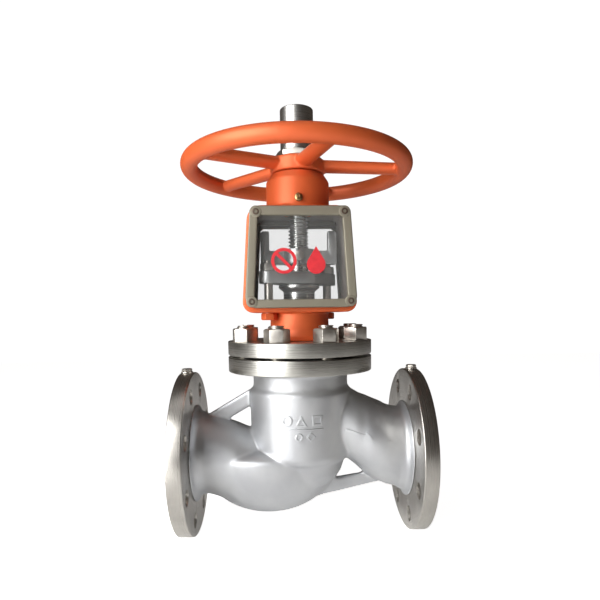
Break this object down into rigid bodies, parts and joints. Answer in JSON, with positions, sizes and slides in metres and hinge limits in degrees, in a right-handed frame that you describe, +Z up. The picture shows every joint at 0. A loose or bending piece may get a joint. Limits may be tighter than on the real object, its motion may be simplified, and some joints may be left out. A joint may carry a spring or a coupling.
{
  "type": "globe valve",
  "caption": "Flanged globe valve with bolted bonnet, enclosed yoke window, rising stem, handwheel and stem cap.",
  "frame": {"origin": "where the stem's axis crosses the pipe's axis", "axes": "+X along the pipe from inlet to outlet, +Z up the stem towards the handwheel, -Y towards the front cover"},
  "size_m": [0.35, 0.3182, 0.5975],
  "materials": {
    "cast_stainless": "bead-blasted cast stainless steel, matte",
    "machined_steel": "turned stainless steel, satin",
    "bracket_steel": "plain machined steel, slightly dull",
    "cap_steel": "turned tube, satin",
    "bright_fasteners": "bright stainless fasteners",
    "graphite": "pressed graphite",
    "orange_paint": "semi-gloss orange paint over a casting",
    "grey_paint": "satin grey paint",
    "brass": "satin brass",
    "clear_acrylic": "clear plastic sheet"
  },
  "bodies": {
    "body": {"valve_body": "cast_stainless", "seat_ring": "machined_steel", "body_gasket": "graphite", "bonnet_yoke": "orange_paint", "backseat_bush": "machined_steel", "bonnet_stud_1": "bright_fasteners", "bonnet_nut_1": "bright_fasteners", "bonnet_stud_2": "bright_fasteners", "bonnet_nut_2": "bright_fasteners", "bonnet_stud_3": "bright_fasteners", "bonnet_nut_3": "bright_fasteners", "bonnet_stud_4": "bright_fasteners", "bonnet_nut_4": "bright_fasteners", "bonnet_stud_5": "bright_fasteners", "bonnet_nut_5": "bright_fasteners", "bonnet_stud_6": "bright_fasteners", "bonnet_nut_6": "bright_fasteners", "bonnet_stud_7": "bright_fasteners", "bonnet_nut_7": "bright_fasteners", "bonnet_stud_8": "bright_fasteners", "bonnet_nut_8": "bright_fasteners", "packing_base_ring": "machined_steel", "packing_ring_1": "graphite", "packing_ring_2": "graphite", "packing_ring_3": "graphite", "packing_ring_4": "graphite", "gland_follower": "machined_steel", "gland_flange": "bracket_steel", "gland_bolt_front": "bright_fasteners", "gland_nut_front": "bright_fasteners", "gland_bolt_rear": "bright_fasteners", "gland_nut_rear": "bright_fasteners", "thrust_bearing_lower": "machined_steel", "thrust_bearing_upper": "machined_steel", "bearing_retainer": "machined_steel", "grease_nipple": "brass", "front_cover_frame": "grey_paint", "front_window": "clear_acrylic", "front_cover_screw_1": "bright_fasteners", "front_cover_screw_2": "bright_fasteners", "front_cover_screw_3": "bright_fasteners", "front_cover_screw_4": "bright_fasteners", "rear_cover_frame": "grey_paint", "rear_window": "clear_acrylic", "rear_cover_screw_1": "bright_fasteners", "rear_cover_screw_2": "bright_fasteners", "rear_cover_screw_3": "bright_fasteners", "rear_cover_screw_4": "bright_fasteners", "earthing_bolt_inlet": "bright_fasteners", "earthing_bolt_outlet": "bright_fasteners"},
    "drive": {"handwheel": "orange_paint", "handwheel_key": "machined_steel", "handwheel_nut": "machined_steel", "stem_nut": "brass", "stem_cap": "cap_steel"},
    "stem_line": {"stem": "machined_steel", "guide_bracket": "bracket_steel", "guide_clamp_bolt": "bright_fasteners"},
    "disc": {"disc": "machined_steel", "disc_nut": "machined_steel"}
  },
  "joints": [
    {"name": "handwheel_turn", "type": "hinge", "parent": "body", "child": "drive", "pos_m": [0, 0, 0.4], "axis": [0, 0, 1], "range_deg": [0, 1584]},
    {"name": "stem_lift", "type": "slide", "parent": "body", "child": "stem_line", "axis": [0, 0, 1], "range_m": [0, 0.022]},
    {"name": "disc_swivel", "type": "hinge", "parent": "stem_line", "child": "disc", "pos_m": [0, 0, 0.03], "axis": [0, 0, 1], "continuous": true}
  ],
  "couplings": [
    {"joint": "stem_lift", "follows": "handwheel_turn", "m_per_rad": 0.00079577}
  ]
}
